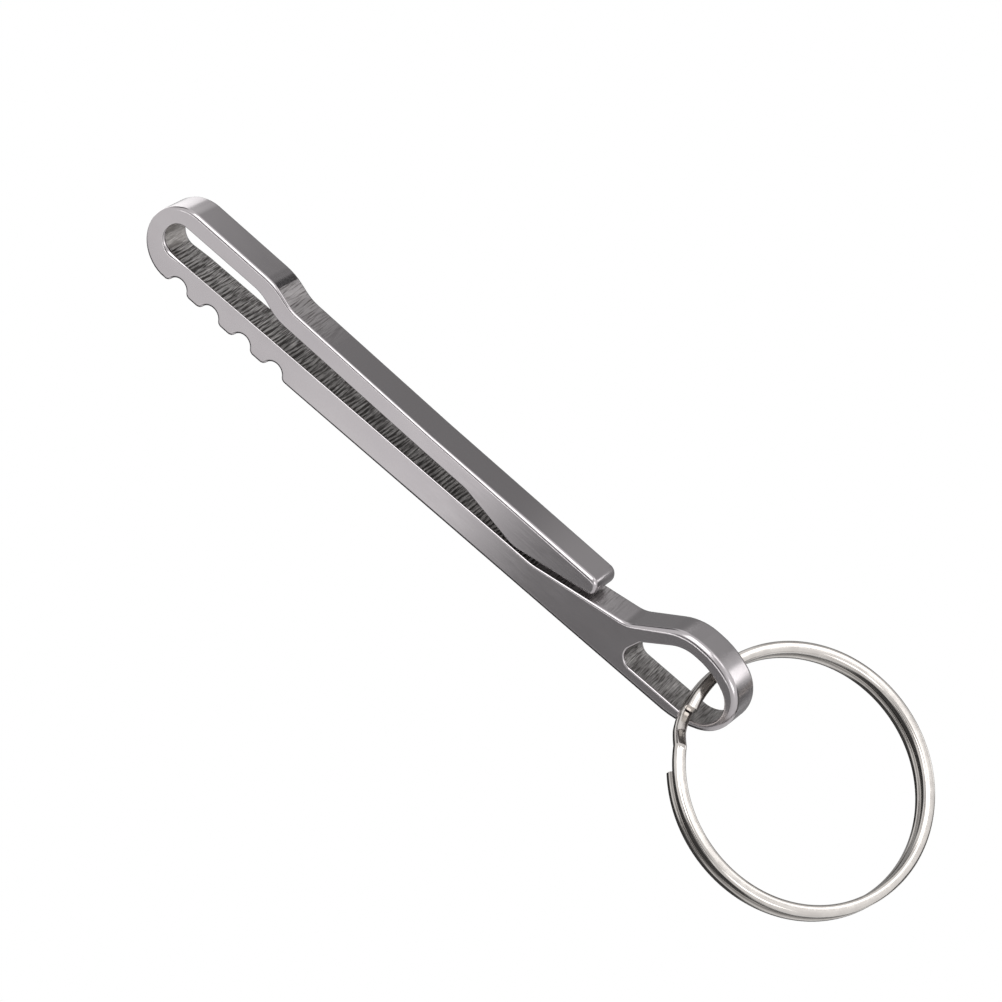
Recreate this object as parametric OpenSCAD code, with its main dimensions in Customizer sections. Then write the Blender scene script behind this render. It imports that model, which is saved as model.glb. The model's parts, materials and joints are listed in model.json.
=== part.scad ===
// Belt key clip: a one-piece springy plate hook with a split ring through its eye.
// The outline is drawn in a flat frame: x runs from the bend toward the eye,
// y from the arm toward the back of the spine, z through the plate.
// stand() then hangs it up with the bend on top and the origin in the slot's crown.

/* [Plate] */
// Thickness of the plate that the clip is cut from
plate_t = 4.45; // [3.5:0.05:5.5]
// Distance from the bend's centre to the widest place of the eye
clip_l = 72.2; // [66:0.1:80]

/* [Bend] */
// Outer radius of the bend
bend_r = 4.58; // [4.5:0.02:4.7]
// Radius of the closed end of the belt slot
slot_r = 1.96; // [1.8:0.02:2]
// How far the slot's end is set back past the bend's centre
slot_shift = 0.5; // [0.3:0.05:0.7]
// How far the slot's centre line lies toward the arm
slot_drop = 0.49; // [0.4:0.01:0.55]

/* [Spine] */
// Distance from the bend's centre to where the back reaches its full height
back_x = 19; // [18.5:0.5:24]
// How far the straight back lies inside the eye's widest place
back_inset = 0.11; // [0:0.01:0.2]
// Distance from the eye's widest place back to the end of the slot's straight wall
mouth_back = 20.3; // [18:0.1:22]
// How far the foot of the steep ramp lies below the bend's centre
ramp_drop = 0.68; // [0.5:0.02:1]
// Slope of the steep ramp up to the eye
ramp_angle = 36.87; // [34:0.1:40]
// Hollow radius at the foot of the steep ramp
ramp_r = 3.5; // [1:0.1:4]
// Rounding at the end of the slot's straight wall
mouth_r = 6; // [2:0.5:12]

/* [Thumb grips] */
// Number of hollows along the back
grip_n = 4; // [1:4]
// Distance from the bend's centre to the first hollow
grip_x = 1.87; // [1.87:0.01:2.2]
// Distance between neighbouring hollows
grip_pitch = 4.74; // [4.6:0.02:4.9]
// Radius of each hollow
grip_r = 1.25; // [1:0.05:1.25]
// Rounding radius of the crests beside each hollow
crest_r = 0.75; // [0.5:0.05:0.75]

/* [Arm] */
// Lean of the arm's first stretch toward the spine
lean_angle = 1.2; // [0.8:0.1:1.4]
// Distance from the bend's centre to the start of the jog on the outer edge
jog_x = 11.35; // [11:0.05:12]
// Length of the jog on the outer edge
jog_l = 3.1; // [2.8:0.05:3.4]
// Shift of the outer edge over the jog
jog_h = 1.21; // [1:0.01:1.3]
// How much earlier the jog starts on the inner edge
jog_lead = 0.7; // [0.5:0.05:0.9]
// Length of the jog on the inner edge
jog_in_l = 2.75; // [2.5:0.05:3]
// Shift of the inner edge over the jog
jog_in_h = 1.3; // [1.1:0.01:1.35]
// Rounding radius where the jog starts
jog_r = 7; // [4:0.5:8]
// Rounding radius where the jog ends
jog_end_r = 5.5; // [3:0.5:6]
// Place of the knee where the arm straightens, as a share of the way to the tip
knee_share = 0.59; // [0.5:0.01:0.65]
// Height that the outer edge gains between the jog and the knee
knee_h = 0.57; // [0.4:0.01:0.7]
// Thickness of the arm at the knee
knee_t = 2.06; // [1.9:0.02:2.2]
// Distance from the eye's widest place back to the tip of the arm
tip_back = 12.95; // [12:0.05:14]
// Height that the outer edge gains between the knee and the tip
tip_h = 0.24; // [0.1:0.01:0.4]
// Thickness of the arm at its tip
tip_t = 1.92; // [1.85:0.02:2.2]
// Rounding radius of the tip's outer corner
tip_r = 1.1; // [0.9:0.05:1.15]
// Rounding radius of the tip's inner corner
tip_in_r = 0.75; // [0.5:0.05:0.8]
// Distance from the tip back to where the arm starts to thicken
swell_back = 17.95; // [17:0.05:19]
// Height that the inner edge gains between the knee and the swell
swell_rise = 0.1; // [0.05:0.01:0.2]
// Distance from the tip back to the arm's highest place
heel_back = 10.25; // [9.5:0.05:11]
// Gap between the spine and the corner of the arm's highest place
nip_gap = 0.23; // [0.2:0.01:0.6]
// Rounding radius of the swell and of the highest place
heel_r = 4; // [2:0.5:6]

/* [Eye] */
// Half of the eye's outer width
eye_half = 4.9; // [4.6:0.05:5.4]
// Radius of the eye's bulging sides
side_r = 10; // [9.5:0.1:11]
// How much smaller the eye's nose is than the eye's half width
nose_inset = 0.6; // [0.4:0.05:0.8]
// Radius of the shoulder over the ramp
shoulder_r = 6; // [5:0.1:6.5]
// Straight stretch between the shoulder and the eye's widest place
shoulder_flat = 0.57; // [0.4:0.01:1.2]
// Wall of the eye on the ramp's side
top_wall = 1.7; // [1.6:0.01:1.9]
// Wall of the eye under the steep ramp
ramp_wall = 1.83; // [1.7:0.01:1.95]
// Wall of the eye on the back's side
back_wall = 1.52; // [1.5:0.01:1.7]
// How much smaller the hole's nose is than half of the hole's width
hole_nose_inset = 0.37; // [0.34:0.01:0.4]
// Slant of the eye hole's near end
hole_slant = 65.2; // [62:0.1:68]
// Distance from the foot of the steep ramp on to the hole's near corner
hole_setback = 0.76; // [0.6:0.02:1]
// Radius of the hole's near corner
hole_r = 1.4; // [1.1:0.05:1.5]
// Length of the hole's slanted near end, as a share of the hole's width
hole_end_share = 0.578; // [0.56:0.002:0.59]
// Rounding radius between the near end and the ramp's wall
hole_end_r = 1; // [0.6:0.1:1.2]

/* [Split ring] */
// Outer diameter of the split ring
ring_d = 30; // [28:0.5:32]
// Width of the wire across the ring
wire_w = 1.4; // [1.1:0.05:1.5]
// Thickness of the wire along the ring's axis
wire_t = 1.4; // [1.2:0.05:1.45]
// Chamfer on the wire's four edges
wire_chamfer = 0.35; // [0.1:0.05:0.35]
// Clearance between the two turns
turn_gap = 0.05; // [0.05:0.01:0.1]
// Angle of the first cut end, counted from the eye
front_end = -15.3; // [-18:0.1:-12]
// Angle where the front turn starts to cross over, counted from the eye
cross_start = -32.5; // [-36:0.1:-30]
// Angle where the crossing reaches the rear turn, counted from the eye
cross_end = -16; // [-20:0.1:-15]
// Angle of the second cut end, counted from the eye
rear_end = -42.8; // [-50:0.1:-40]
// Distance from the eye's widest place on to the wire in the eye
wire_past = 2.07; // [2:0.01:2.2]
// Distance of the wire from the middle of the hole's width, toward the back
wire_shift = 0.07; // [0.03:0.01:0.11]
// How far the ring has slid along its wire past the plate's middle
wire_slide = 0.76; // [0.7:0.02:0.8]
// Play that the twisted ring leaves in the eye
ring_play = 0.72; // [0.7:0.01:1.2]
// Swing of the ring from the clip's length
ring_swing = 13.95; // [0:0.05:20]

/* [Hidden] */
$fn = 96;
arc_step = 6;
// The crossing is a hair thinner than the wire and runs a little way into both turns
cross_steps = 14;
cross_share = 0.98;
cross_lap = 1;

// Places and slopes that follow from the sizes above
back_h = eye_half - back_inset;
mouth_x = clip_l - mouth_back;
ramp_l = (eye_half - ramp_drop) / tan(ramp_angle);
shoulder_l = shoulder_r * tan(ramp_angle / 2);
ramp_x = clip_l - shoulder_flat - shoulder_l - ramp_l;
tip_x = clip_l - tip_back;
knee_x = tip_x * knee_share;
swell_x = tip_x - swell_back;
heel_x = tip_x - heel_back;

slot_y = -slot_drop;
slot_in_y = slot_y + slot_r;
slot_out_y = slot_y - slot_r;
crown_x = -slot_shift - slot_r;
heel_h = slot_in_y - nip_gap;
back_slope = atan((back_h - bend_r) / back_x);
ramp_top_x = ramp_x + ramp_l;
nose_r = eye_half - nose_inset;
nose_dx = sqrt(pow(side_r - nose_r, 2) - pow(side_r - eye_half, 2));
nose_angle = atan2(side_r - eye_half, nose_dx);

hole_top_y = top_wall - eye_half;
hole_back_y = eye_half - back_wall;
hole_w = hole_back_y - hole_top_y;
hole_nose_r = hole_w / 2 - hole_nose_inset;
hole_end_l = hole_w * hole_end_share;
hole_side_r = side_r - top_wall;
hole_side_y = side_r - eye_half;
hole_nose_y = hole_back_y - hole_nose_r;
hole_nose_dx = sqrt(pow(hole_side_r - hole_nose_r, 2) - pow(hole_side_y - hole_nose_y, 2));
hole_nose_angle = atan2(hole_side_y - hole_nose_y, hole_nose_dx);
hole_near_x = ramp_x + hole_setback;
hole_end_x = hole_near_x + hole_end_l * cos(hole_slant);
hole_end_y = hole_back_y - hole_end_l * sin(hole_slant);
// The hole's ramp side runs parallel to the ramp, one wall inside it
hole_ramp_x = ramp_x + ramp_wall / sin(ramp_angle)
    + (-ramp_drop - hole_top_y) / tan(ramp_angle);

jog_y = jog_x * tan(lean_angle) - bend_r;
jog_end_y = jog_y + jog_h;
knee_y = jog_end_y + knee_h;
tip_y = knee_y + tip_h;
jog_in_x = jog_x - jog_lead;
jog_in_y = slot_out_y + jog_in_x * tan(lean_angle) / 2;
jog_in_end_y = jog_in_y + jog_in_h;
knee_in_y = knee_y + knee_t;

ring_r = ring_d / 2 - wire_w / 2;
turn_z = (wire_t + turn_gap) / 2;
// The ring is twisted as far as the eye's walls and their play let it
ring_h = 2 * wire_t + turn_gap;
ring_twist = atan((2 * hole_nose_r - ring_h - ring_play) / plate_t);
wire_mid = [clip_l + wire_past, hole_top_y + hole_w / 2 + wire_shift, plate_t / 2];
wire_place = wire_mid + wire_slide * [0, -sin(ring_twist), cos(ring_twist)];

// A point at a distance and an angle from another point
function polar(c, r, a) = c + r * [cos(a), sin(a)];

// Points along an arc, from angle a0 to angle a1
function arc(c, r, a0, a1) =
    let (n = max(1, ceil(abs(a1 - a0) / arc_step)))
    [for (i = [0:n]) polar(c, r, a0 + (a1 - a0) * i / n)];

function heading(p, q) = atan2(q.y - p.y, q.x - p.x);

// The smallest signed turn between two headings
function turn(a, b) = (b - a + 540) % 360 - 180;

// The arc of radius r that rounds the corner q between p and s
function fillet(p, q, s, r) =
    let (
        a = heading(p, q),
        bend = turn(a, heading(q, s)),
        side = sign(bend) * 90,
        start = polar(q, -r * tan(abs(bend) / 2), a)
    )
    arc(polar(start, r, a + side), r, a - side, a - side + bend);

// A path of corners [x, y, radius]: its two ends stay sharp
function rounded(path) =
    let (last = len(path) - 1)
    [for (i = [0:last])
        each (i == 0 || i == last)
            ? [[path[i].x, path[i].y]]
            : fillet(path[i - 1], path[i], path[i + 1], path[i][2])];

// One thumb grip: a crest, the hollow and the next crest, along the sloping back
function grip(i) =
    let (
        s = grip_x + i * grip_pitch,
        mid = [s, bend_r + s * tan(back_slope)],
        reach = sqrt(pow(grip_r + crest_r, 2) - pow(crest_r, 2)),
        tilt = atan2(crest_r, reach),
        left = polar(polar(mid, -reach, back_slope), -crest_r, 90 + back_slope),
        right = polar(polar(mid, reach, back_slope), -crest_r, 90 + back_slope)
    )
    concat(
        arc(left, crest_r, 90 + back_slope, tilt + back_slope),
        arc(mid, grip_r, 180 + tilt + back_slope, 360 - tilt + back_slope),
        arc(right, crest_r, 180 - tilt + back_slope, 90 + back_slope)
    );

// Spine with the eye, drawn along the back, round the nose and back up the ramp
spine_path = concat(
    [[-slot_shift, slot_in_y], [-slot_shift, bend_r / 2]],
    [for (i = [0:grip_n - 1]) each grip(i)],
    [[back_x, back_h]],
    arc([clip_l, eye_half - side_r], side_r, 90, nose_angle),
    arc([clip_l + nose_dx, 0], nose_r, nose_angle, -nose_angle),
    arc([clip_l, side_r - eye_half], side_r, -nose_angle, -90),
    rounded([
        [clip_l, -eye_half],
        [ramp_top_x, -eye_half, shoulder_r],
        [ramp_x, -ramp_drop, ramp_r],
        [mouth_x, slot_in_y, mouth_r],
        [knee_x, slot_in_y]
    ]),
    [[knee_x, 0]]
);

// Hole of the eye, from its nose along the ramp's side and round the near end
hole_path = concat(
    arc([clip_l + hole_nose_dx, hole_nose_y], hole_nose_r, 90, -hole_nose_angle),
    arc([clip_l, hole_side_y], hole_side_r, -hole_nose_angle, -90),
    rounded([
        [clip_l, hole_top_y],
        [hole_ramp_x, hole_top_y, shoulder_r - top_wall],
        [hole_end_x, hole_end_y, hole_end_r],
        [hole_near_x, hole_back_y, hole_r],
        [clip_l + hole_nose_dx, hole_back_y]
    ])
);

// Arm, drawn out along its outer edge and back along its inner edge
arm_path = rounded([
    [0, -bend_r],
    [jog_x, jog_y, jog_r],
    [jog_x + jog_l, jog_end_y, jog_end_r],
    [knee_x, knee_y, knee_x],
    [tip_x, tip_y, tip_r],
    [tip_x, tip_y + tip_t, tip_in_r],
    [heel_x, heel_h, heel_r],
    [swell_x, knee_in_y + swell_rise, heel_r],
    [knee_x, knee_in_y, knee_x],
    [jog_in_x + jog_in_l, jog_in_end_y, jog_end_r],
    [jog_in_x, jog_in_y, jog_end_r],
    [0, slot_out_y]
]);

// Stands the flat drawing up: bend on top, origin in the crown of the slot
module stand() {
    rotate([0, 90, 90])
        translate([-crown_x, slot_drop, -plate_t / 2])
            children();
}

// Extrudes a flat shape through the plate, or past both its faces to cut it
module plate(over = 0) {
    translate([0, 0, -over])
        linear_extrude(height = plate_t + 2 * over)
            children();
}

// Half disc of the bend
module bend_profile() {
    intersection() {
        circle(r = bend_r);
        translate([-bend_r, -bend_r])
            square([bend_r, 2 * bend_r]);
    }
}

module clip_body() {
    color([0.62, 0.62, 0.63])
        stand()
            difference() {
                union() {
                    plate()
                        bend_profile();
                    plate()
                        polygon(spine_path);
                }
                translate([-slot_shift, slot_y]) {
                    plate(over = slot_r)
                        circle(r = slot_r);
                    plate(over = slot_r)
                        translate([0, -slot_r])
                            square([slot_shift + knee_x, 2 * slot_r]);
                }
                plate(over = slot_r)
                    polygon(hole_path);
            }
}

module spring_arm() {
    color([0.62, 0.62, 0.63])
        stand()
            plate()
                polygon(arm_path);
}

// Cross-section of the wire, as [distance from the ring's axis, height]
wire_path = [for (side = [[1, 1], [-1, 1], [-1, -1], [1, -1]])
    let (
        corner = [side.x * wire_w, side.y * wire_t] / 2,
        along = [side.x * wire_chamfer, 0],
        up = [0, side.y * wire_chamfer],
        swap = side.x * side.y > 0
    )
    each swap ? [corner - up, corner - along] : [corner - along, corner - up]];

// One flat turn of wire between two angles
module wire_turn(a0, a1, z) {
    translate([0, 0, z])
        rotate([0, 0, a0])
            rotate_extrude(angle = a1 - a0)
                translate([ring_r, 0])
                    polygon(wire_path);
}

// The short stretch where the wire crosses from the front turn to the rear one
module wire_crossing() {
    sides = len(wire_path);
    first = cross_start - cross_lap;
    last = cross_end + cross_lap;
    points = [for (i = [0:cross_steps])
        let (
            a = first + (last - first) * i / cross_steps,
            s = min(1, max(0, (a - cross_start) / (cross_end - cross_start))),
            z = -turn_z * cos(180 * s)
        )
        for (p = wire_path * cross_share)
            [(ring_r + p.x) * cos(a), (ring_r + p.x) * sin(a), z + p.y]];
    walls = [for (i = [0:cross_steps - 1])
        for (k = [0:sides - 1])
            let (k2 = (k + 1) % sides)
            [i * sides + k, i * sides + k2, (i + 1) * sides + k2, (i + 1) * sides + k]];
    start_cap = [for (k = [sides - 1:-1:0]) k];
    end_cap = [for (k = [0:sides - 1]) cross_steps * sides + k];
    polyhedron(points = points, faces = concat([start_cap, end_cap], walls));
}

module split_ring() {
    color([0.86, 0.86, 0.88])
        stand()
            translate(wire_place)
                rotate([ring_twist, 0, 0])
                    rotate([90, 0, 180])
                        rotate([0, ring_swing, 0])
                            translate([-ring_r, 0, 0]) {
                                wire_turn(front_end, cross_start + 360, -turn_z);
                                wire_crossing();
                                wire_turn(cross_end, rear_end + 360, turn_z);
                            }
}

clip_body();
spring_arm();
split_ring();
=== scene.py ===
# %% [markdown]
# # A belt key clip with its split ring
# The clip is sawn from one thick plate of titanium: a spine with four round
# grips in its back, an eye at its lower end, and a sprung arm that holds the
# belt. A split ring of steel wire runs through the eye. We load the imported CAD
# model first, because every piece that we make must sit exactly where the CAD
# says.

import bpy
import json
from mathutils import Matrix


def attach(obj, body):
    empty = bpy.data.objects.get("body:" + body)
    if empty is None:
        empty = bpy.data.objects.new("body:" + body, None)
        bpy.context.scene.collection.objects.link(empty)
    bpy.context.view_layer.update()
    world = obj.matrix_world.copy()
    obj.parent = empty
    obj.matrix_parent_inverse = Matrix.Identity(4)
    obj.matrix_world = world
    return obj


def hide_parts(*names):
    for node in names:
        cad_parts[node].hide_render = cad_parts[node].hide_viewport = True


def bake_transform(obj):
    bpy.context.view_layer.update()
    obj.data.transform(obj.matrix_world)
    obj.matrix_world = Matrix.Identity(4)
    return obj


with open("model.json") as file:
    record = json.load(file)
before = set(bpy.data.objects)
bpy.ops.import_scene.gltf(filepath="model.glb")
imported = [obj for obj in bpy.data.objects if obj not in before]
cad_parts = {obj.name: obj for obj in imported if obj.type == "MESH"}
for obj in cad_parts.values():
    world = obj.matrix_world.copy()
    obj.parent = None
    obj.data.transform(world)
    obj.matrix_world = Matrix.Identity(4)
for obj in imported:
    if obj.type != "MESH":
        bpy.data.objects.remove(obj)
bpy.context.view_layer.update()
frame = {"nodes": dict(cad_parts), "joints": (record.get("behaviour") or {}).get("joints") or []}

# %% [markdown]
# Blender counts in metres, while a clip is measured in millimetres. So the
# sizes of the clip are written in millimetres and multiplied by MM. Z runs up
# the clip, with 0 at the top of the belt slot. X runs from the spine's back
# towards the arm, and Y from the front face to the rear face.

# %% Imports and units
import json
from math import atan2, cos, degrees, pi, radians, sin

import bmesh
import bpy
from mathutils import Euler, Matrix, Vector

MM = 0.001
nodes = frame["nodes"]
joints = {joint["name"]: joint for joint in frame["joints"]}

# %% [markdown]
# ## Camera
# The photograph looks at the front face from the arm's side and from a little
# below, with a long lens. The place and turn of the camera were worked out
# from the clip's corners in the picture.

# %% Camera
SENSOR, LENS = 36, 161.68
CAMERA_PLACE = (267.60, -386.16, -143.34)
CAMERA_TURN = (107.4193, 47.9752, 47.8233)
NEAREST_SEEN = 10

camera_data = bpy.data.cameras.new("camera")
camera_data.sensor_width = SENSOR
camera_data.lens = LENS
camera_data.clip_start = NEAREST_SEEN * MM
camera = bpy.data.objects.new("camera", camera_data)
camera.location = Vector(CAMERA_PLACE) * MM
camera.rotation_euler = Euler([radians(angle) for angle in CAMERA_TURN])
bpy.context.collection.objects.link(camera)
bpy.context.scene.camera = camera
bpy.context.scene.view_settings.view_transform = "Standard"
print("camera at", tuple(round(c, 4) for c in camera.location))

# %% [markdown]
# ## Helpers
# An operator acts on whatever is selected, and the CAD nodes are still
# selected after loading. So each step starts by selecting one object only.
# The clip's main shape is already right in the CAD, so we start from a copy of
# each node's mesh. It comes as loose triangles: we merge their corners and
# dissolve the edges on flat faces.

# %% Selecting and copying
MERGE_WITHIN = 0.002
NEARLY_FLAT = 0.5


def only(piece):
    """Selects one object and makes it the active one."""
    bpy.ops.object.select_all(action="DESELECT")
    piece.select_set(True)
    bpy.context.view_layer.objects.active = piece


def copy_of_node(name, new_name):
    """Copies a CAD node's mesh, merges its loose triangles and dissolves flat edges."""
    piece = bpy.data.objects.new(new_name, nodes[name].data.copy())
    piece.data.name = new_name
    piece.data.materials.clear()
    bpy.context.collection.objects.link(piece)
    only(piece)
    bpy.ops.object.mode_set(mode="EDIT")
    bpy.ops.mesh.select_all(action="SELECT")
    bpy.ops.mesh.remove_doubles(threshold=MERGE_WITHIN * MM)
    bpy.ops.mesh.dissolve_limited(angle_limit=radians(NEARLY_FLAT))
    bpy.ops.object.mode_set(mode="OBJECT")
    print(new_name, "has", len(piece.data.polygons), "faces after merging")
    return piece


def blend_of(value, first, last):
    """Straight line between two points (at, amount), and level outside them."""
    share = (value - first[0]) / (last[0] - first[0])
    return first[1] + (last[1] - first[1]) * min(1, max(0, share))


# %% [markdown]
# ## Rounded rims of the plate
# The real clip is polished after sawing, so its outer rims are rounded by 0.3
# to 0.66 mm, while the sawn slot keeps an edge of 0.1 to 0.2 mm. A Bevel would
# slide along the edges that cross the big front face and pucker there. So the
# flat face is taken off, the open rim is extruded inwards in small steps along
# a quarter circle, and what is left open is filled. First we find the eye's
# hole, whose rim has one rounding all round.

# %% The walls of the eye's hole
HOLE_TOP = -55


def mark_hole(mesh):
    """Marks the walls of the eye's hole: an island of faces that lies low on the plate."""
    mark = mesh.faces.layers.int.new("hole")
    left = set(mesh.faces)
    while left:
        island, edge = set(), [left.pop()]
        while edge:
            face = edge.pop()
            island.add(face)
            near = {f for e in face.edges for f in e.link_faces} & left
            left -= near
            edge += near
        low = max(v.co.z for f in island for v in f.verts) < HOLE_TOP * MM
        for face in island:
            face[mark] = int(low)


# %% [markdown]
# Each vertex of an open rim then gets three numbers, kept in layers: the X and
# the Z of its way inwards, and the radius of its rounding. Inwards is straight
# away from its two walls. Where the plate meets the arm, one of the walls is
# the cut between them: a vertex there goes along the cut, so both pieces end
# alike. In a sharp corner the way grows longer, up to a limit.

# %% The rim, and which way it goes in
SEAM_Z = -2.46
LAYERS = ("in_x", "in_z", "round")
RIM_FROM = 2  # a rim lies farther than this from the plate's middle
HOLE_ROUND = 0.2
CLOSE, LEVEL = 0.01, 1e-4
SEAM_LIMIT, CORNER_LIMIT = 0.2, 0.5


def way_in(vert, pair):
    """The way inwards at a rim vertex between two rim edges, and its walls' normal."""
    walls = [e.link_faces[0].normal for e in pair]
    if vert.co.x > 0 and abs(vert.co.z / MM - SEAM_Z) < CLOSE:
        seam = [e for e in pair if abs(e.verts[0].co.z - e.verts[1].co.z) < LEVEL * MM]
        if seam:
            outward = [n for e, n in zip(pair, walls) if e is not seam[0]][0]
            way = (seam[0].other_vert(vert).co - vert.co).normalized()
            return way / max(SEAM_LIMIT, -way.dot(outward)), outward
    outward = (walls[0] + walls[1]).normalized()
    return -outward / max(CORNER_LIMIT, outward.dot(walls[0])), outward


def store_inward(mesh, side, rounding):
    """Keeps on each rim vertex which way is inwards, and how far its rounding goes."""
    mark = mesh.faces.layers.int.get("hole")
    layers = [mesh.verts.layers.float.get(n) or mesh.verts.layers.float.new(n) for n in LAYERS]
    rim = {e for e in mesh.edges if e.is_boundary and e.verts[0].co.y * side > RIM_FROM * MM}
    for vert in {v for e in rim for v in e.verts}:
        pair = [e for e in vert.link_edges if e in rim]
        way, outward = way_in(vert, pair)
        in_hole = pair[0].link_faces[0][mark]
        vert[layers[0]], vert[layers[1]] = way.x, way.z
        vert[layers[2]] = HOLE_ROUND if in_hole else rounding(vert.co / MM, outward)
    return rim, layers[2]


# %% [markdown]
# Now the flat faces come off. Each wall gets the number of its finish before
# that: polished, sawn, or ground and half polished. The finishes themselves
# are made later.

# %% Open the flat faces
FACES_FRONT = 0.99
POLISHED, SAWN, GROUND = 0, 1, 2


def open_faces(piece, finish):
    """Takes off the flat faces, and gives each wall its finish."""
    bpy.ops.mesh.select_mode(type="FACE")
    bpy.ops.mesh.select_all(action="DESELECT")
    mesh = bmesh.from_edit_mesh(piece.data)
    for face in mesh.faces:
        face.select = abs(face.normal.y) > FACES_FRONT
    bpy.ops.mesh.delete(type="FACE")
    mesh = bmesh.from_edit_mesh(piece.data)
    mark_hole(mesh)
    mark = mesh.faces.layers.int.get("hole")
    for face in mesh.faces:
        middle = face.calc_center_median() / MM
        face.material_index = SAWN if face[mark] else finish(middle, face.normal)
    bpy.ops.mesh.select_mode(type="EDGE")


# %% [markdown]
# The open rim is first drawn back by its radius, and then goes along the
# quarter circle: with each step it moves less outwards and more inwards. The
# extruded edges inherit the layers, so every step knows its way.

# %% Round one rim and close it
HALF_THICK = 2.225
ROUND_STEPS = 5


def draw_in(piece, side, rounding):
    """Extrudes one open rim inwards along a quarter circle, and fills what is left."""
    bpy.ops.mesh.select_all(action="DESELECT")
    mesh = bmesh.from_edit_mesh(piece.data)
    rim, radius = store_inward(mesh, side, rounding)
    for edge in rim:
        edge.select = True
    for vert in {v for e in rim for v in e.verts}:
        vert.co.y = side * (HALF_THICK - vert[radius]) * MM
    bmesh.update_edit_mesh(piece.data)
    for step in range(ROUND_STEPS):
        a, b = radians(90 * step / ROUND_STEPS), radians(90 * (step + 1) / ROUND_STEPS)
        bpy.ops.mesh.extrude_edges_move()
        mesh = bmesh.from_edit_mesh(piece.data)
        in_x, in_z, radius = [mesh.verts.layers.float.get(n) for n in LAYERS]
        for vert in [v for v in mesh.verts if v.select]:
            inwards = vert[radius] * (cos(a) - cos(b)) * MM
            vert.co.x += vert[in_x] * inwards
            vert.co.z += vert[in_z] * inwards
            vert.co.y += side * vert[radius] * (sin(b) - sin(a)) * MM
        bmesh.update_edit_mesh(piece.data)
    bpy.ops.mesh.fill(use_beauty=True)


# %% [markdown]
# A rounded rim has to flow into the wall without a line, and the flat face has
# to mirror like a flat face. So the edge around the face is marked sharp, and
# a Weighted Normal modifier lets the big faces decide the shading. Last, the
# normals beside the seam are turned level, so that the plate and the arm
# mirror as one metal there.

# %% Shade the rims
SMOOTH_UP_TO = 35
FLAT_FACE, WALL = 0.999, 0.05
SEAM_WALL = 0.5


def level_seam(piece):
    """Turns the normals at the seam level, so that plate and arm shade as one metal."""
    mesh = piece.data
    normals = [corner.vector.copy() for corner in mesh.corner_normals]
    for face in mesh.polygons:
        for loop in face.loop_indices:
            place = mesh.vertices[mesh.loops[loop].vertex_index].co / MM
            at_seam = place.x > 0 and abs(place.z - SEAM_Z) < CLOSE
            if at_seam and abs(face.normal.z) < SEAM_WALL:
                normals[loop].z = 0
                normals[loop].normalize()
    mesh.normals_split_custom_set(normals)


def shade_rims(piece):
    """Polishes all but the walls, and keeps the flat faces flat in the shading."""
    bpy.ops.object.shade_smooth_by_angle(angle=radians(SMOOTH_UP_TO))
    bpy.ops.object.mode_set(mode="EDIT")
    bpy.ops.mesh.select_all(action="DESELECT")
    mesh = bmesh.from_edit_mesh(piece.data)
    for face in mesh.faces:
        if abs(face.normal.y) > WALL:
            face.material_index = POLISHED
    for edge in mesh.edges:
        edge.select = len({abs(f.normal.y) > FLAT_FACE for f in edge.link_faces}) == 2
    bpy.ops.mesh.mark_sharp()
    bpy.ops.object.mode_set(mode="OBJECT")
    flatter = piece.modifiers.new("flat_walls", "WEIGHTED_NORMAL")
    flatter.keep_sharp = True
    bpy.ops.object.modifier_apply(modifier=flatter.name)
    level_seam(piece)


def round_rims(piece, rounding, finish):
    """Rounds both rims of a plate piece, the front one first."""
    only(piece)
    bpy.ops.object.mode_set(mode="EDIT")
    open_faces(piece, finish)
    for side in (-1, 1):
        draw_in(piece, side, rounding)
    bpy.ops.mesh.select_all(action="SELECT")
    bpy.ops.mesh.normals_make_consistent(inside=False)
    bpy.ops.object.mode_set(mode="OBJECT")
    shade_rims(piece)
    print(piece.name, "has", len(piece.data.polygons), "faces with its rims rounded")


# %% [markdown]
# ## The plate: bend, spine and eye
# The spine's outer rim is rounded a little and the eye's nose most, because
# that is where keys would wear a sharp edge. At the crown, the round top end
# of the slot, the spine's side of the rim is worn wide: it catches the light
# as a pale crescent that thins out towards the arm. Each pair below is a place
# and the radius there. The places of the crown and the bend are along X, and
# all others are heights.

# %% Roundings of the plate
CROWN, CROWN_SIZE, CROWN_END = Vector((-0.49, 0, -1.96)), 3, -4.5
CROWN_SPINE, CROWN_ARM = (-2.4, 0.5), (0.2, 0.1)
BEND_TOP, BEND_ARM = (0, 0.34), (3, 0.42)
SLOT_TOP, UNDER_CROWN = (-2.5, 0.5), (CROWN_END, 0.09)
SLOT_HALF = -40  # the slot's wall has corners only near its ends, well away from here
SLOT_END, EYE_START = (-59, 0.2), (-66, 0.34)
NOSE_BACK, NOSE_FRONT = (-77, 0.62), (-72, 0.66)


def in_crown(place):
    """True beside the round top end of the slot."""
    return Vector((place.x - CROWN.x, place.z - CROWN.z)).length < CROWN_SIZE


def plate_rounding(place, outward):
    """The plate's radius: above the seam, on the spine's back, then down the slot's side."""
    if place.z > SEAM_Z - CLOSE:
        if in_crown(place):
            return blend_of(place.x, CROWN_SPINE, CROWN_ARM)
        return blend_of(place.x, BEND_TOP, BEND_ARM)
    if outward.x < 0:
        return blend_of(place.z, EYE_START, NOSE_BACK)
    if place.z > SLOT_HALF:
        return blend_of(place.z, UNDER_CROWN, SLOT_TOP)
    if place.z > EYE_START[0]:
        return blend_of(place.z, SLOT_END, EYE_START)
    return blend_of(place.z, EYE_START, NOSE_FRONT)


# %% [markdown]
# The walls of the slot and of the eye's hole were sawn and never polished.
# Past the arm's tip the wall was ground, so the saw marks fade there towards
# the eye, whose nose is bright again.

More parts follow.
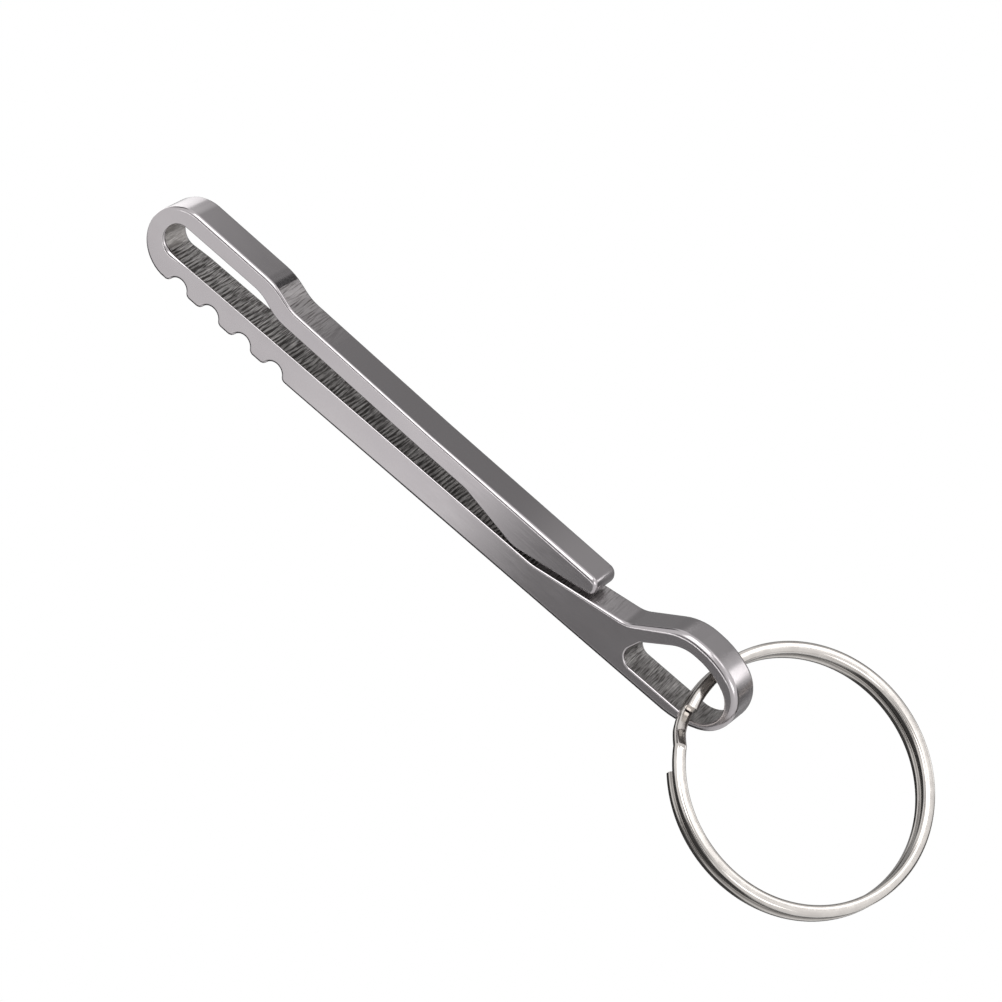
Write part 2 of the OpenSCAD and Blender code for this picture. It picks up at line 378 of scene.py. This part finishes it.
# %% Finishes of the plate's walls
LOOKS_AT_ARM = 0.3  # the least X of such a wall's normal
SAWN_DOWN_TO, GROUND_DOWN_TO = -57, -74


def plate_finish(middle, normal):
    """The finish of one of the plate's walls, from its middle and its normal."""
    if middle.z > SEAM_Z:
        return SAWN if in_crown(middle) else POLISHED
    if normal.x < LOOKS_AT_ARM or middle.z < GROUND_DOWN_TO:
        return POLISHED
    return SAWN if middle.z > SAWN_DOWN_TO else GROUND


# %% [markdown]
# Two things on the copied mesh are put right before its rims are rounded. The
# CAD has a ledge of 0.07 mm between the bend and the first grip, which would
# show as a scratch, so its corners are merged. And the slot's straight wall
# has no corners between its ends, so the crown's wide rounding would run all
# the way down it: a cut under the crown lets the radius change there.

# %% Mend and cut
LEDGE_BEHIND = -4.9
LEDGE_FROM, LEDGE_TO = -2.49, -2.44


def close_ledge(piece, side):
    """Merges the corners of the tiny ledge between the bend and the first grip."""
    only(piece)
    bpy.ops.object.mode_set(mode="EDIT")
    bpy.ops.mesh.select_mode(type="VERT")
    bpy.ops.mesh.select_all(action="DESELECT")
    mesh = bmesh.from_edit_mesh(piece.data)
    for vert in mesh.verts:
        place = vert.co / MM
        on_ledge = place.x < LEDGE_BEHIND and LEDGE_FROM < place.z < LEDGE_TO
        vert.select = on_ledge and place.y * side > 0
    mesh.select_flush_mode()
    print("closes a ledge of", sum(v.select for v in mesh.verts), "corners")
    bpy.ops.mesh.merge(type="CENTER")
    bpy.ops.object.mode_set(mode="OBJECT")


def cut_across(piece, height):
    """Cuts a piece's faces at one height, so that the rounding can change there."""
    only(piece)
    bpy.ops.object.mode_set(mode="EDIT")
    bpy.ops.mesh.select_all(action="SELECT")
    bpy.ops.mesh.bisect(plane_co=(0, 0, height * MM), plane_no=(0, 0, 1))
    bpy.ops.object.mode_set(mode="OBJECT")


# %% Plate
plate = copy_of_node("clip_body", "sawn_plate")
close_ledge(plate, -1)
close_ledge(plate, 1)
cut_across(plate, CROWN_END)
round_rims(plate, plate_rounding, plate_finish)
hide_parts("clip_body")
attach(plate, "body")

# %% [markdown]
# ## The sprung arm
# The arm is one metal with the plate: it starts where the bend ends and
# springs open along its length. Its seam with the plate has the same rounded
# section on both pieces, so it doesn't show. Its inner side, toward the slot,
# keeps the sawn edge down to the nip. Its outer side is rounded least below
# the step, and more towards the tip.

# %% Arm
OUTER, INNER = 0.2, -0.3  # limits of the X of a normal
NIP, TIP_INSIDE = (-57, 0.1), (-61, 0.42)
STEP_TOP, STEP_END = (-11, 0.42), (-16, 0.3)
SWELL, TIP_OUTSIDE = (-48, 0.3), (-60, 0.5)
GROUND_FROM, GROUND_TO = -14.2, -56


def arm_rounding(place, outward):
    """The arm's radius: on its inner side, around its step, then down to its tip."""
    if outward.x < OUTER:
        return blend_of(place.z, NIP, TIP_INSIDE)
    if place.z > STEP_END[0]:
        return blend_of(place.z, STEP_TOP, STEP_END)
    return blend_of(place.z, SWELL, TIP_OUTSIDE)


def arm_finish(middle, normal):
    """The finish of one of the arm's walls: sawn inside, ground from the step down."""
    if normal.x < INNER:
        return SAWN
    return GROUND if GROUND_TO < middle.z < GROUND_FROM else POLISHED


arm = copy_of_node("spring_arm", "sprung_arm")
round_rims(arm, arm_rounding, arm_finish)
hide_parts("spring_arm")

# %% [markdown]
# ## The split ring
# A split ring is one wire wound almost twice round, with a short step where it
# crosses from the front turn to the rear one. We draw the wire's section, a
# square with round corners, and spin it round the ring's axis. Angles are in
# degrees round the ring.

# %% Wire section
WIRE = 1.3
WIRE_ROUND, CORNER_STEPS = 0.42, 6
RING_R = 14.35
RISE = 1.55
START = -17.6


def wire_end(angle):
    """A face with rounded corners across the wire, at an angle round the ring."""
    bpy.ops.object.select_all(action="DESELECT")
    place = (RING_R * MM, 0, -RISE / 2 * MM)
    across = (radians(90), 0, 0)
    bpy.ops.mesh.primitive_plane_add(size=WIRE * MM, location=place, rotation=across)
    piece = bpy.context.object
    bpy.ops.object.transform_apply(location=True, rotation=True, scale=True)
    bpy.ops.object.mode_set(mode="EDIT")
    bpy.ops.mesh.select_all(action="SELECT")
    bpy.ops.mesh.bevel(
        offset=WIRE_ROUND * MM, segments=CORNER_STEPS, profile=0.5, affect="VERTICES"
    )
    bpy.ops.mesh.select_all(action="SELECT")
    bpy.ops.object.mode_set(mode="OBJECT")
    piece.data.transform(Matrix.Rotation(radians(angle), 4, "Z"))
    return piece


ring = wire_end(START)
ring.name = ring.data.name = "wound_ring"
print("wire's end has", len(ring.data.vertices), "corners")

# %% [markdown]
# Over the step, each short spin is followed by a small move along the axis.
# The real wire is bent sharply there: it rises steeply up to a kink, and the
# rest of the rise is flatter.

# %% Wind the wire
FIRST_TURN, FIRST_STEPS = 342.4, 172
CROSSING, CROSS_STEPS = 16.4, 22
SECOND_TURN, SECOND_STEPS = 333.6, 166
KINK, KINK_RISE, CROSS_END = 0.48, 0.72, 0.97


def spin_wire(angle, steps):
    """Sweeps the selected end face round the ring's axis."""
    bpy.ops.mesh.spin(steps=steps, angle=radians(angle), center=(0, 0, 0), axis=(0, 0, -1))


def step_height(share):
    """How far the wire has risen over a share of the step."""
    if share < KINK:
        return RISE * KINK_RISE * share / KINK
    return RISE * blend_of(share, (KINK, KINK_RISE), (CROSS_END, 1))


bpy.ops.object.mode_set(mode="EDIT")
spin_wire(FIRST_TURN, FIRST_STEPS)
for step in range(CROSS_STEPS):
    rise = step_height((step + 1) / CROSS_STEPS) - step_height(step / CROSS_STEPS)
    spin_wire(CROSSING / CROSS_STEPS, 1)
    bpy.ops.transform.translate(value=(0, 0, rise * MM))
spin_wire(SECOND_TURN, SECOND_STEPS)
bpy.ops.mesh.select_all(action="SELECT")
bpy.ops.mesh.remove_doubles(threshold=MERGE_WITHIN * MM)
bpy.ops.mesh.normals_make_consistent(inside=False)
bpy.ops.object.mode_set(mode="OBJECT")
print("wire has", len(ring.data.polygons), "faces")

# %% [markdown]
# The gap between the two turns is nearly black in the photograph, where shade falls between
# them, so the wire's colour is darkened there: a painted shade. An attribute marks it for the
# material: 1 in the gap, and 0 outside it and around the step, where the wire lies alone.

# %% Mark the gap between the turns
STEP_MIDDLE = 330
BEFORE_STEP = ((316, 1), (318, 0))
AFTER_STEP = ((342, 0), (344, 1))
GAP_INSIDE, GAP_OUTSIDE = (0.14, 1), (0.42, 0)

# painted shade: where this is 1, the wire's colour is darkened to nearly black between the turns
gap = ring.data.attributes.new("gap", "FLOAT", "POINT")
for vert, value in zip(ring.data.vertices, gap.data):
    angle = degrees(atan2(vert.co.y, vert.co.x)) % 360
    both_turns = blend_of(angle, *(BEFORE_STEP if angle < STEP_MIDDLE else AFTER_STEP))
    value.value = both_turns * blend_of(abs(vert.co.z) / MM, GAP_INSIDE, GAP_OUTSIDE)
print("corners in the gap:", sum(value.value > 0 for value in gap.data))

# %% [markdown]
# The ring hangs in the eye by the wire at its local +X side. The joint gives
# the place in the eye and the wire's direction there, and the ring's centre
# gives the rest of its turn. Then its place is applied to its mesh.

# %% Ring place
RING_CENTRE = (-3.384, 2.248, -90.61)
RING_SMOOTH = 40

swing = joints["ring_swing"]
eye = Vector(swing["pos_m"])
along = Vector(swing["axis"]).normalized()
centre = Vector(RING_CENTRE) * MM
outward = eye - centre
outward = (outward - along * outward.dot(along)).normalized()
turned = Matrix((outward, along, outward.cross(along))).transposed().to_4x4()
ring.matrix_world = Matrix.Translation(centre) @ turned
only(ring)
bpy.ops.object.transform_apply(location=True, rotation=True, scale=True)
bpy.ops.object.shade_smooth_by_angle(angle=radians(RING_SMOOTH))
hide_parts("split_ring")
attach(ring, "ring")
print("ring spans", [round(d / MM, 2) for d in ring.dimensions])

# %% [markdown]
# ## Finishes
# All of the clip is one metal, and only its finish changes. We write small
# helpers first. These start a material, add a node, and give a socket either a
# plain value or a link.

# %% Material helpers
def new_material(name):
    """Starts a metal: returns the material, its node tree and its shader."""
    material = bpy.data.materials.new(name)
    material.use_nodes = True
    tree = material.node_tree
    tree.nodes.clear()
    out = tree.nodes.new("ShaderNodeOutputMaterial")
    shader = tree.nodes.new("ShaderNodeBsdfPrincipled")
    shader.inputs["Metallic"].default_value = 1.0
    tree.links.new(shader.outputs["BSDF"], out.inputs["Surface"])
    return material, tree, shader


def add(tree, kind, **settings):
    """Adds a node, and sets its sockets and properties by name."""
    made = tree.nodes.new(kind)
    for key, value in settings.items():
        if key in made.inputs:
            made.inputs[key].default_value = value
        else:
            setattr(made, key, value)
    return made


def feed(tree, socket, value):
    """Gives a socket a plain value, or links another node's output to it."""
    if isinstance(value, bpy.types.NodeSocket):
        tree.links.new(value, socket)
    else:
        socket.default_value = value


def grey(level):
    """A colour with the same red, green and blue."""
    return (level,) * 3


# %% [markdown]
# The next helpers are for patterns. Noise on Object coordinates is drawn out
# along one axis, like tool marks, a ramp turns it into colours, and a fade
# reads a place on the clip, so that a finish can change along it. Object
# coordinates are in metres, and so are the places in a fade.

# %% Pattern helpers
COLOUR_A, COLOUR_B, COLOUR_RESULT = 6, 7, 2


def drawn_noise(tree, scale, detail=4.0, slant=0.0):
    """Noise on Object coordinates, drawn out along the axis with the smallest scale."""
    place = add(tree, "ShaderNodeTexCoord")
    lean = add(tree, "ShaderNodeMapping", Rotation=(radians(slant), 0, 0))
    stretch = add(tree, "ShaderNodeMapping", Scale=scale)
    noise = add(tree, "ShaderNodeTexNoise", Scale=1.0, Detail=detail, Roughness=0.6)
    tree.links.new(place.outputs["Object"], lean.inputs["Vector"])
    tree.links.new(lean.outputs["Vector"], stretch.inputs["Vector"])
    tree.links.new(stretch.outputs["Vector"], noise.inputs["Vector"])
    return noise.outputs["Fac"]


def ramp(tree, source, low, high, start=0.35, end=0.65):
    """Colours from low to high between two values of the source."""
    made = add(tree, "ShaderNodeValToRGB")
    for element, place, colour in zip(made.color_ramp.elements, (start, end), (low, high)):
        element.position = place
        element.color = (*colour, 1)
    tree.links.new(source, made.inputs["Fac"])
    return made.outputs["Color"]


def object_place(tree):
    """The outputs X, Y and Z of the place on the object."""
    place = add(tree, "ShaderNodeTexCoord")
    split = add(tree, "ShaderNodeSeparateXYZ")
    tree.links.new(place.outputs["Object"], split.inputs["Vector"])
    return split.outputs


def faded(tree, source, empty, full, most=1.0, shape="LINEAR"):
    """Grows from 0 at one value of the source to the most at another."""
    made = add(tree, "ShaderNodeMapRange", interpolation_type=shape)
    limits = (("From Min", empty), ("From Max", full), ("To Min", 0.0), ("To Max", most))
    for socket, value in limits:
        made.inputs[socket].default_value = value
    tree.links.new(source, made.inputs["Value"])
    return made.outputs["Result"]


def product(tree, first, second):
    """Multiplies two values."""
    made = add(tree, "ShaderNodeMath", operation="MULTIPLY")
    tree.links.new(first, made.inputs[0])
    tree.links.new(second, made.inputs[1])
    return made.outputs[0]


def mix_values(tree, factor, first, second):
    """Goes from the first value to the second as the factor grows from 0 to 1."""
    made = add(tree, "ShaderNodeMix", data_type="FLOAT")
    for socket, value in (("Factor", factor), ("A", first), ("B", second)):
        feed(tree, made.inputs[socket], value)
    return made.outputs["Result"]


def mix_colours(tree, factor, first, second):
    """Goes from the first colour to the second as the factor grows from 0 to 1."""
    made = add(tree, "ShaderNodeMix", data_type="RGBA")
    for socket, value in (("Factor", factor), (COLOUR_A, first), (COLOUR_B, second)):
        feed(tree, made.inputs[socket], value)
    return made.outputs[COLOUR_RESULT]


def add_bump(tree, shader, height, strength, distance):
    """Gives the shader a bump from a height, with its full depth in metres."""
    bump = add(tree, "ShaderNodeBump", Strength=strength, Distance=distance)
    tree.links.new(height, bump.inputs["Height"])
    tree.links.new(bump.outputs["Normal"], shader.inputs["Normal"])


# %% [markdown]
# Polished titanium is a warm grey mirror that is slightly clouded. A finer
# noise along the clip keeps traces of the polishing in its roughness.

# %% Polished titanium
CLOUD_SCALE, CLOUD_DETAIL = (120, 120, 60), 3.0
CLOUD_DARK, CLOUD_PALE = (0.425, 0.40, 0.412), (0.465, 0.44, 0.45)
BRUSHING_SCALE = (7000, 7000, 500)
BRUSHING_SMOOTH, BRUSHING_ROUGH = grey(0.13), grey(0.2)
BRUSHING_BUMP = (0.002, 0.00002)

polished, tree, shader = new_material("polished_titanium")
cloud = drawn_noise(tree, CLOUD_SCALE, CLOUD_DETAIL)
tree.links.new(ramp(tree, cloud, CLOUD_DARK, CLOUD_PALE), shader.inputs["Base Color"])
brushing = drawn_noise(tree, BRUSHING_SCALE)
traces = ramp(tree, brushing, BRUSHING_SMOOTH, BRUSHING_ROUGH)
tree.links.new(traces, shader.inputs["Roughness"])
add_bump(tree, shader, brushing, *BRUSHING_BUMP)
print("made", polished.name)

# %% [markdown]
# The saw leaves fine lines across the thickness of the plate, a little
# slanted. Each line is a dark groove with a bright crest, and patches of them
# are rougher than others. The teeth also left crisper ribs: a Wave texture,
# bent by its own distortion. Its bands repeat every pi / 10 of the scaled
# place, so the scale sets how far the ribs are apart.

# %% Marks of the saw
CUT_SCALE, CUT_DETAIL, CUT_SLANT = (12000, 480, 12000), 6.0, -5
PATCH_SCALE, PATCH_DETAIL, PATCH_SHARE = (900, 600, 900), 3.0, 0.22
TEETH_SCALE, TEETH_BEND, TEETH_SLANT = 640.0, 7.0, -2
TEETH_DETAIL, TEETH_DETAIL_SCALE = 3.0, 1.6
TEETH_LONG = (1, 0.16, 1)
TEETH_RAMP = (0.2, 0.8)
WAVE_PERIOD = pi / 10

sawn, tree, shader = new_material("sawn_titanium")
cuts = drawn_noise(tree, CUT_SCALE, CUT_DETAIL, slant=CUT_SLANT)
patches = drawn_noise(tree, PATCH_SCALE, PATCH_DETAIL)
plain_cut = mix_values(tree, PATCH_SHARE, cuts, patches)

place = add(tree, "ShaderNodeTexCoord")
lean = add(tree, "ShaderNodeMapping", Rotation=(radians(TEETH_SLANT), 0, 0))
long = add(tree, "ShaderNodeMapping", Scale=TEETH_LONG)
teeth = add(tree, "ShaderNodeTexWave", bands_direction="Z")
teeth.inputs["Scale"].default_value = TEETH_SCALE
teeth.inputs["Distortion"].default_value = TEETH_BEND
teeth.inputs["Detail"].default_value = TEETH_DETAIL
teeth.inputs["Detail Scale"].default_value = TEETH_DETAIL_SCALE
tree.links.new(place.outputs["Object"], lean.inputs["Vector"])
tree.links.new(lean.outputs["Vector"], long.inputs["Vector"])
tree.links.new(long.outputs["Vector"], teeth.inputs["Vector"])
crisp = ramp(tree, teeth.outputs["Fac"], grey(0.25), grey(0.8), *TEETH_RAMP)
print("a rib every", round(WAVE_PERIOD / TEETH_SCALE / MM, 2), "mm")

# %% [markdown]
# The ribs are mixed in near the front face of the slot only. The eye's hole was cut more gently:
# there the marks keep about half of their contrast, around a middle level. The crown of the slot
# is painted lighter than the rest: a painted reflection of the light that its wall catches from
# below.

# %% Sawn titanium
SLOT_FADE = (-0.062, -0.058)
FRONT_FADE, TEETH_SHARE = (0.0012, -0.0012), 0.27
CALM_CONTRAST, CALM_LEVEL = 0.55, 0.535
GROOVE, CREST, MARKS_RAMP = (0.085, 0.078, 0.075), (0.80, 0.77, 0.76), (0.45, 0.64)
CUT_BUMP = (0.7, 0.0001)
CROWN_FADE, CROWN_SHARE = (-0.0016, -0.0009), 0.42
CROWN_PAINTED_LIGHT = (0.95, 0.90, 0.87, 1)

where = object_place(tree)
in_slot = faded(tree, where["Z"], *SLOT_FADE)
near_front = faded(tree, where["Y"], *FRONT_FADE, most=TEETH_SHARE)
cut = mix_values(tree, product(tree, in_slot, near_front), plain_cut, crisp)
calm = mix_values(tree, CALM_CONTRAST, CALM_LEVEL, cut)
marks = mix_values(tree, in_slot, calm, cut)
tint = ramp(tree, marks, GROOVE, CREST, *MARKS_RAMP)
# painted light: the crown's wall is lightened in its colour, for the light it reflects from
# below
crown_light_share = faded(tree, where["Z"], *CROWN_FADE, most=CROWN_SHARE)
colour = mix_colours(tree, crown_light_share, tint, CROWN_PAINTED_LIGHT)
tree.links.new(colour, shader.inputs["Base Color"])
tree.links.new(ramp(tree, marks, grey(0.5), grey(0.3)), shader.inputs["Roughness"])
add_bump(tree, shader, cuts, *CUT_BUMP)
print("made", sawn.name)

# %% [markdown]
# Two places were sawn and then only half polished: the arm's step, and the
# wall beyond the arm's tip. There the saw marks fade out along the clip, so
# their strength is read from the height.

# %% Half polished titanium
HALF_SCALE, HALF_DETAIL = (6500, 260, 6500), 5.0
HALF_GROOVE, HALF_CREST, HALF_RAMP = (0.20, 0.18, 0.18), (0.60, 0.57, 0.575), (0.38, 0.52)
HALF_BARE = (0.445, 0.42, 0.43, 1)
HALF_BUMP = (0.45, 0.00008)
STEP_FADE, RAMP_FADE = (-0.0235, -0.0175), (-0.0655, -0.0605)


def half_polished(name, bare, marked):
    """Saw marks that are full at the height marked and gone at the height bare."""
    material, tree, shader = new_material(name)
    cuts = drawn_noise(tree, HALF_SCALE, HALF_DETAIL, slant=CUT_SLANT)
    strength = faded(tree, object_place(tree)["Z"], bare, marked)
    lines = ramp(tree, cuts, HALF_GROOVE, HALF_CREST, *HALF_RAMP)
    colour = mix_colours(tree, strength, HALF_BARE, lines)
    rough = ramp(tree, strength, grey(0.16), grey(0.3), 0.0, 1.0)
    tree.links.new(colour, shader.inputs["Base Color"])
    tree.links.new(rough, shader.inputs["Roughness"])
    add_bump(tree, shader, product(tree, cuts, strength), *HALF_BUMP)
    print("made", name)
    return material


step_wall = half_polished("half_polished_step", *STEP_FADE)
ramp_wall = half_polished("half_polished_ramp", *RAMP_FADE)

# %% [markdown]
# The ring's wire is drawn and polished steel, brighter and warmer than the titanium, with a
# faint unevenness. The painted shade of the gap lies where the mesh is marked.

# %% Ring steel
WORN_SCALE, WORN_DETAIL = (700, 700, 700), 3.0
STEEL_DARK, STEEL_PALE = (0.55, 0.52, 0.495), (0.63, 0.60, 0.57)
GAP_PAINTED_SHADE = (0.04, 0.036, 0.033, 1)
WORN_BUMP = (0.04, 0.00005)

steel, tree, shader = new_material("polished_wire")
worn = drawn_noise(tree, WORN_SCALE, WORN_DETAIL)
clean = ramp(tree, worn, STEEL_DARK, STEEL_PALE)
between = add(tree, "ShaderNodeAttribute", attribute_name="gap")
# painted shade: the wire's colour is darkened where the gap attribute marks the shade between
# the turns
colour = mix_colours(tree, between.outputs["Fac"], clean, GAP_PAINTED_SHADE)
tree.links.new(colour, shader.inputs["Base Color"])
tree.links.new(ramp(tree, worn, grey(0.1), grey(0.17)), shader.inputs["Roughness"])
add_bump(tree, shader, worn, *WORN_BUMP)
print("made", steel.name)

# %% [markdown]
# Each piece of the clip gets its finishes in the order of the numbers that its
# walls already have. The ring is all steel.

# %% Give the finishes
for piece, half in ((plate, ramp_wall), (arm, step_wall)):
    for finish in (polished, sawn, half):
        piece.data.materials.append(finish)
    kinds = [face.material_index for face in piece.data.polygons]
    print(piece.name, "faces per finish", [kinds.count(i) for i in (POLISHED, SAWN, GROUND)])
ring.data.materials.clear()
ring.data.materials.append(steel)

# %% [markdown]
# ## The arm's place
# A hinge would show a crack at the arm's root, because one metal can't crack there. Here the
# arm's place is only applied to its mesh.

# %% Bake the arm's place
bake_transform(arm)

# %% [markdown]
# ## Studio
# Polished metal shows its surroundings, so the studio is built from what it
# should mirror: a white room, softboxes for the bright lines along the rims,
# and grey cards with soft edges, outside the picture, for the dark sides.

# %% Floor
FLOOR_SIZE, FLOOR_Z, FLOOR_GREY = 6, -0.4, 0.88

bpy.ops.object.select_all(action="DESELECT")
bpy.ops.mesh.primitive_plane_add(size=FLOOR_SIZE, location=(0, 0, FLOOR_Z))
floor = bpy.context.object
floor.name = "floor"
pale, tree, shader = new_material("pale_floor")
shader.inputs["Metallic"].default_value = 0.0
shader.inputs["Base Color"].default_value = (*grey(FLOOR_GREY), 1)
shader.inputs["Roughness"].default_value = 0.9
floor.data.materials.append(pale)
print("floor at", floor.location.z, "m")

# %% [markdown]
# The room is plain white where it is seen, straight or in the metal, and a
# little dimmer as a light, so that the floor doesn't burn out.

# %% Room
ROOM_LIGHT, ROOM_SEEN = 0.9, 1.0

world = bpy.data.worlds.new("studio")
bpy.context.scene.world = world
world.use_nodes = True
tree = world.node_tree
tree.nodes.clear()
out = tree.nodes.new("ShaderNodeOutputWorld")
plain = add(tree, "ShaderNodeBackground", Color=(1, 1, 1, 1), Strength=ROOM_LIGHT)
white = add(tree, "ShaderNodeBackground", Color=(1, 1, 1, 1), Strength=ROOM_SEEN)
mix = tree.nodes.new("ShaderNodeMixShader")
light_path = tree.nodes.new("ShaderNodeLightPath")
seen = add(tree, "ShaderNodeMath", operation="ADD")
seen_all = add(tree, "ShaderNodeMath", operation="ADD", use_clamp=True)
tree.links.new(light_path.outputs["Is Camera Ray"], seen.inputs[0])
tree.links.new(light_path.outputs["Is Glossy Ray"], seen.inputs[1])
tree.links.new(seen.outputs[0], seen_all.inputs[0])
tree.links.new(light_path.outputs["Is Transmission Ray"], seen_all.inputs[1])
tree.links.new(seen_all.outputs[0], mix.inputs["Fac"])
tree.links.new(plain.outputs[0], mix.inputs[1])
tree.links.new(white.outputs[0], mix.inputs[2])
tree.links.new(mix.outputs[0], out.inputs["Surface"])
print("made the room", world.name)

# %% [markdown]
# Lamps and cards are placed by a compass angle and a height angle, both in
# degrees and seen from the clip's middle, and by their distance from it. They
# are turned towards it. The front face looks towards -90, and the arm's outer
# side towards 0. Sizes and distances here are in metres.

# %% Placing
CLIP_MIDDLE = Vector((-0.0005, 0, -0.045))


def seen_from_clip(azimuth, elevation, distance):
    """Where something stands, and its turn so that its front looks at the clip."""
    turn = Euler((0, -radians(elevation), radians(azimuth))).to_matrix()
    way = turn @ Vector((distance, 0, 0))
    return CLIP_MIDDLE + way, (-way).to_track_quat("-Z", "Y").to_euler()


# %% [markdown]
# Key, low and rim draw the bright lines along the rims, and top lights the
# bend. Under and glow shine from below, on the arm's tip and the eye's nose.
# Those two are small and near, because farther off they would stand under the
# floor.

# %% Softboxes
SOFTBOXES = (
    # name, compass angle, height angle, width, height, radiance, distance
    ("key", -36, 14, 0.8, 0.5, 2.2, 0.9),
    ("low", 0, -13, 0.4, 0.25, 1.5, 0.9),
    ("rim", -102, 14, 0.06, 0.6, 2.2, 0.9),
    ("top", 100, 48, 0.7, 0.5, 1.15, 0.9),
    ("under", 68, -29, 0.255, 0.183, 1.6, 0.55),
    ("glow", -54, -40, 0.18, 0.15, 2.0, 0.4),
)


def softbox(name, azimuth, elevation, width, height, radiance, distance):
    """An area lamp that the camera doesn't see, with its brightness per area."""
    data = bpy.data.lights.new(name, "AREA")
    data.shape = "RECTANGLE"
    data.size, data.size_y = width, height
    data.energy = radiance * width * height * pi
    lamp = bpy.data.objects.new(name, data)
    lamp.location, lamp.rotation_euler = seen_from_clip(azimuth, elevation, distance)
    lamp.visible_camera = False
    bpy.context.collection.objects.link(lamp)
    print(name, round(data.energy, 3), "W")


for box in SOFTBOXES:
    softbox(*box)

# %% [markdown]
# A card glows with its own tone and fades out towards its edges, so that its
# reflection has no hard line. A plane's Object coordinates run from -0.5 to
# 0.5, and each fade goes from the edge at 0.5 to where the card is solid. The
# dark cards give the clip its dark walls and faces, and the pale one brightens
# the middle of the front face. The small cards stand close, so each of them
# shades or lifts one stretch of the clip only.

# %% Grey cards
EDGE = 0.5
SOLID = 0.28
CARDS = (
    # name, compass angle, height angle, width, height, tone, distance, solid in height
    ("dark_side", 52, 11.5, 0.8, 0.78, 0.30, 1.1, 0.0),
    ("dark_left", 184, 12, 1.4, 1.35, 0.06, 1.1, SOLID),
    ("dark_back", 130, -8, 2.0, 1.4, 0.14, 1.1, SOLID),
    ("dark_high", 158, 31, 1.3, 0.9, 0.04, 1.1, SOLID),
    ("dark_bend", 55, 0, 0.6, 0.3, 0.08, 1.1, SOLID),
    ("dark_front", -86, 8, 0.42, 0.9, 0.05, 1.1, SOLID),
    ("grey_front", -125, -7, 0.09, 0.075, 0.25, 0.1, SOLID),
    ("pale_front", -125, 6, 0.6, 0.46, 1.45, 1.1, 0.0),
    ("dark_top", 30, 64, 0.8, 0.8, 0.15, 1.1, SOLID),
    ("dark_low", 90, -60, 0.42, 0.42, 0.12, 0.36, SOLID),
    ("grey_back", 97, 3, 0.11, 0.2, 0.3, 0.06, SOLID),
    ("grey_side", 47, -19, 0.04, 0.054, 0.5, 0.055, SOLID),
)


def card_material(name, tone, solid):
    """A plain glow that fades to clear at the card's edges."""
    material = bpy.data.materials.new(name + "_card")
    material.use_nodes = True
    tree = material.node_tree
    tree.nodes.clear()
    out = tree.nodes.new("ShaderNodeOutputMaterial")
    glow = add(tree, "ShaderNodeEmission", Color=(*grey(tone), 1), Strength=1.0)
    clear = tree.nodes.new("ShaderNodeBsdfTransparent")
    mix = tree.nodes.new("ShaderNodeMixShader")
    where = object_place(tree)
    covers = []
    for side, full in (("X", SOLID), ("Y", solid)):
        size = add(tree, "ShaderNodeMath", operation="ABSOLUTE")
        tree.links.new(where[side], size.inputs[0])
        covers.append(faded(tree, size.outputs[0], EDGE, full, shape="SMOOTHSTEP"))
    tree.links.new(product(tree, *covers), mix.inputs["Fac"])
    tree.links.new(clear.outputs[0], mix.inputs[1])
    tree.links.new(glow.outputs[0], mix.inputs[2])
    tree.links.new(mix.outputs[0], out.inputs["Surface"])
    return material


def card(name, azimuth, elevation, width, height, tone, distance, solid):
    """A card that only the metal sees."""
    bpy.ops.object.select_all(action="DESELECT")
    place, turn = seen_from_clip(azimuth, elevation, distance)
    bpy.ops.mesh.primitive_plane_add(size=1, location=place, rotation=turn)
    made = bpy.context.object
    made.name = name
    made.scale = (width, height, 1)
    made.data.materials.append(card_material(name, tone, solid))
    made.visible_camera = made.visible_diffuse = made.visible_shadow = False
    print(name, "card at", [round(c, 2) for c in made.location])


for row in CARDS:
    card(*row)
